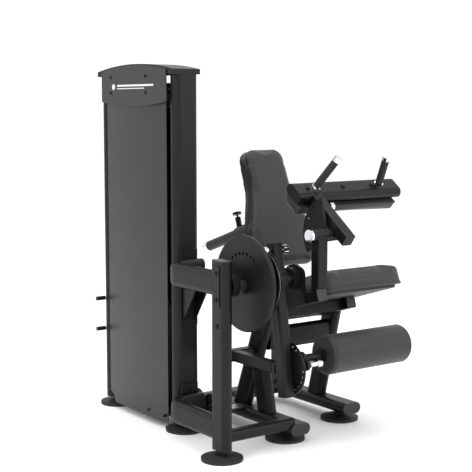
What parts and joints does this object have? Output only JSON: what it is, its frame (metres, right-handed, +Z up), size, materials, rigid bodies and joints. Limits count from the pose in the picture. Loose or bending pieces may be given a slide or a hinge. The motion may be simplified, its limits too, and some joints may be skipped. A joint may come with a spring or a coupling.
{
  "type": "seated leg curl machine",
  "caption": "Seated leg curl and leg extension gym machine with a side weight tower, backrest, thigh pad with handles and an ankle roller.",
  "frame": {"origin": "centre of the bottom of the bounding box, on the floor", "axes": "+Z up, +X the way the user faces, +Y the user's left, away from the weight tower"},
  "size_m": [1.3204, 1.054, 1.5899],
  "materials": {
    "powder_coat": "satin",
    "cover_paint": "satin",
    "black_vinyl": "matte",
    "pad_board": "matte",
    "black_plastic": "matte",
    "rubber": "matte",
    "chrome": "polished",
    "steel": "satin",
    "cast_plate": "matte"
  },
  "bodies": {
    "frame": {"tower_frame": "powder_coat", "tower_top_cap": "powder_coat", "name_plate": "cover_paint", "outer_cover": "cover_paint", "inner_cover": "cover_paint", "accessory_pegs": "black_plastic", "guide_rods": "chrome", "stack_cushions": "rubber", "weight_plates_lower": "cast_plate", "cable_run": "steel", "floor_feet": "rubber", "base_rails": "powder_coat", "outer_post": "powder_coat", "connecting_tubes": "powder_coat", "column_flanges": "powder_coat", "seat_uprights": "powder_coat", "cross_tubes": "powder_coat", "arm_stop_bumper": "rubber", "seat_frame": "powder_coat", "seat_board": "pad_board", "seat_cushion": "black_vinyl", "back_support": "powder_coat", "knee_bearings": "powder_coat", "thigh_post": "powder_coat", "thigh_index_plate": "powder_coat", "tube_end_caps": "black_plastic", "frame_bolts": "steel", "pulley_brackets": "steel"},
    "weight_carriage": {"weight_plates_upper": "cast_plate", "head_plate": "cast_plate", "selector_stem": "steel", "cable_lift_span": "steel"},
    "selector": {"selector_pin": "black_plastic"},
    "knee_cam": {"knee_shaft": "chrome", "range_disc": "powder_coat", "cable_cam": "powder_coat", "cam_cable": "steel"},
    "leg_arm": {"movement_arm": "powder_coat", "roller_index_plate": "powder_coat"},
    "arm_pin": {"arm_index_pin": "chrome"},
    "crank": {"roller_crank": "powder_coat", "roller_spindle": "powder_coat"},
    "crank_pin": {"roller_pin": "chrome"},
    "roller": {"ankle_roller": "black_vinyl"},
    "back_carriage": {"back_cushion": "black_vinyl", "back_board": "pad_board", "back_tube": "powder_coat"},
    "back_pull_pin": {"back_pin": "black_plastic"},
    "thigh_frame": {"thigh_lever": "powder_coat", "thigh_beam": "powder_coat", "thigh_cushion": "black_vinyl", "thigh_shaft": "chrome", "handle_fittings": "chrome", "handle_grips": "rubber"},
    "thigh_pull_pin": {"thigh_pin": "chrome"},
    "guide_wheel": {"guide_pulley": "black_plastic"},
    "floor_wheel": {"floor_pulley": "black_plastic"},
    "tower_base_wheel": {"tower_base_pulley": "black_plastic"},
    "tower_top_wheel": {"tower_top_pulley": "black_plastic"},
    "stack_wheel": {"stack_pulley": "black_plastic"}
  },
  "joints": [
    {"name": "cam_turn", "type": "hinge", "parent": "frame", "child": "knee_cam", "pos_m": [0.4508, -0.328, 0.702], "axis": [0, -1, 0], "range_deg": [0, 60]},
    {"name": "arm_index", "type": "hinge", "parent": "knee_cam", "child": "leg_arm", "pos_m": [0.4508, -0.168, 0.702], "axis": [0, -1, 0], "range_deg": [0, 24]},
    {"name": "arm_pin_pull", "type": "slide", "parent": "leg_arm", "child": "arm_pin", "axis": [0, 1, 0], "range_m": [0, 0.01], "stiffness_N_per_m": 300},
    {"name": "crank_adjust", "type": "hinge", "parent": "leg_arm", "child": "crank", "pos_m": [0.4898, -0.12, 0.34], "axis": [0, -1, 0], "range_deg": [-28, 28]},
    {"name": "crank_pin_pull", "type": "slide", "parent": "crank", "child": "crank_pin", "axis": [0, 1, 0], "range_m": [0, 0.012], "stiffness_N_per_m": 300},
    {"name": "roller_spin", "type": "hinge", "parent": "crank", "child": "roller", "pos_m": [0.5528, 0.214, 0.386], "axis": [0, 1, 0], "continuous": true},
    {"name": "thigh_lever_adjust", "type": "hinge", "parent": "frame", "child": "thigh_frame", "pos_m": [0.5628, 0.047, 0.887], "axis": [0, -1, 0], "range_deg": [-26, 26]},
    {"name": "thigh_pin_pull", "type": "slide", "parent": "thigh_frame", "child": "thigh_pull_pin", "axis": [0, 1, 0], "range_m": [0, 0.012], "stiffness_N_per_m": 300},
    {"name": "back_slide", "type": "slide", "parent": "frame", "child": "back_carriage", "axis": [0.9472, 0, 0.3206], "range_m": [0, 0.18]},
    {"name": "back_pin_pull", "type": "slide", "parent": "frame", "child": "back_pull_pin", "axis": [-0.3206, 0, 0.9472], "range_m": [0, 0.012], "stiffness_N_per_m": 400},
    {"name": "weight_lift", "type": "slide", "parent": "frame", "child": "weight_carriage", "axis": [0, 0, 1], "range_m": [0, 0.13614], "deforming": ["cable_lift_span"]},
    {"name": "selector_pull", "type": "slide", "parent": "weight_carriage", "child": "selector", "axis": [0, 1, 0], "range_m": [0, 0.09]},
    {"name": "guide_pulley_turn", "type": "hinge", "parent": "frame", "child": "guide_wheel", "pos_m": [0.1998, -0.253, 0.526], "axis": [0, 1, 0], "range_deg": [0, 170]},
    {"name": "floor_pulley_turn", "type": "hinge", "parent": "frame", "child": "floor_wheel", "pos_m": [0.1078, -0.253, 0.12], "axis": [0, -1, 0], "range_deg": [0, 170]},
    {"name": "tower_base_pulley_turn", "type": "hinge", "parent": "frame", "child": "tower_base_wheel", "pos_m": [-0.0072, -0.253, 0.12], "axis": [0, -1, 0], "range_deg": [0, 170]},
    {"name": "tower_top_pulley_turn", "type": "hinge", "parent": "frame", "child": "tower_top_wheel", "pos_m": [-0.0992, -0.328, 1.455], "axis": [0, 1, 0], "range_deg": [0, 170]},
    {"name": "stack_pulley_turn", "type": "hinge", "parent": "frame", "child": "stack_wheel", "pos_m": [-0.2312, -0.328, 1.455], "axis": [0, 1, 0], "range_deg": [0, 170]}
  ],
  "couplings": [
    {"joint": "weight_lift", "follows": "cam_turn", "m_per_rad": 0.13},
    {"joint": "guide_pulley_turn", "follows": "cam_turn", "ratio": 2.8261},
    {"joint": "floor_pulley_turn", "follows": "cam_turn", "ratio": 2.8261},
    {"joint": "tower_base_pulley_turn", "follows": "cam_turn", "ratio": 2.8261},
    {"joint": "tower_top_pulley_turn", "follows": "cam_turn", "ratio": 2.8261},
    {"joint": "stack_pulley_turn", "follows": "cam_turn", "ratio": 2.8261}
  ]
}
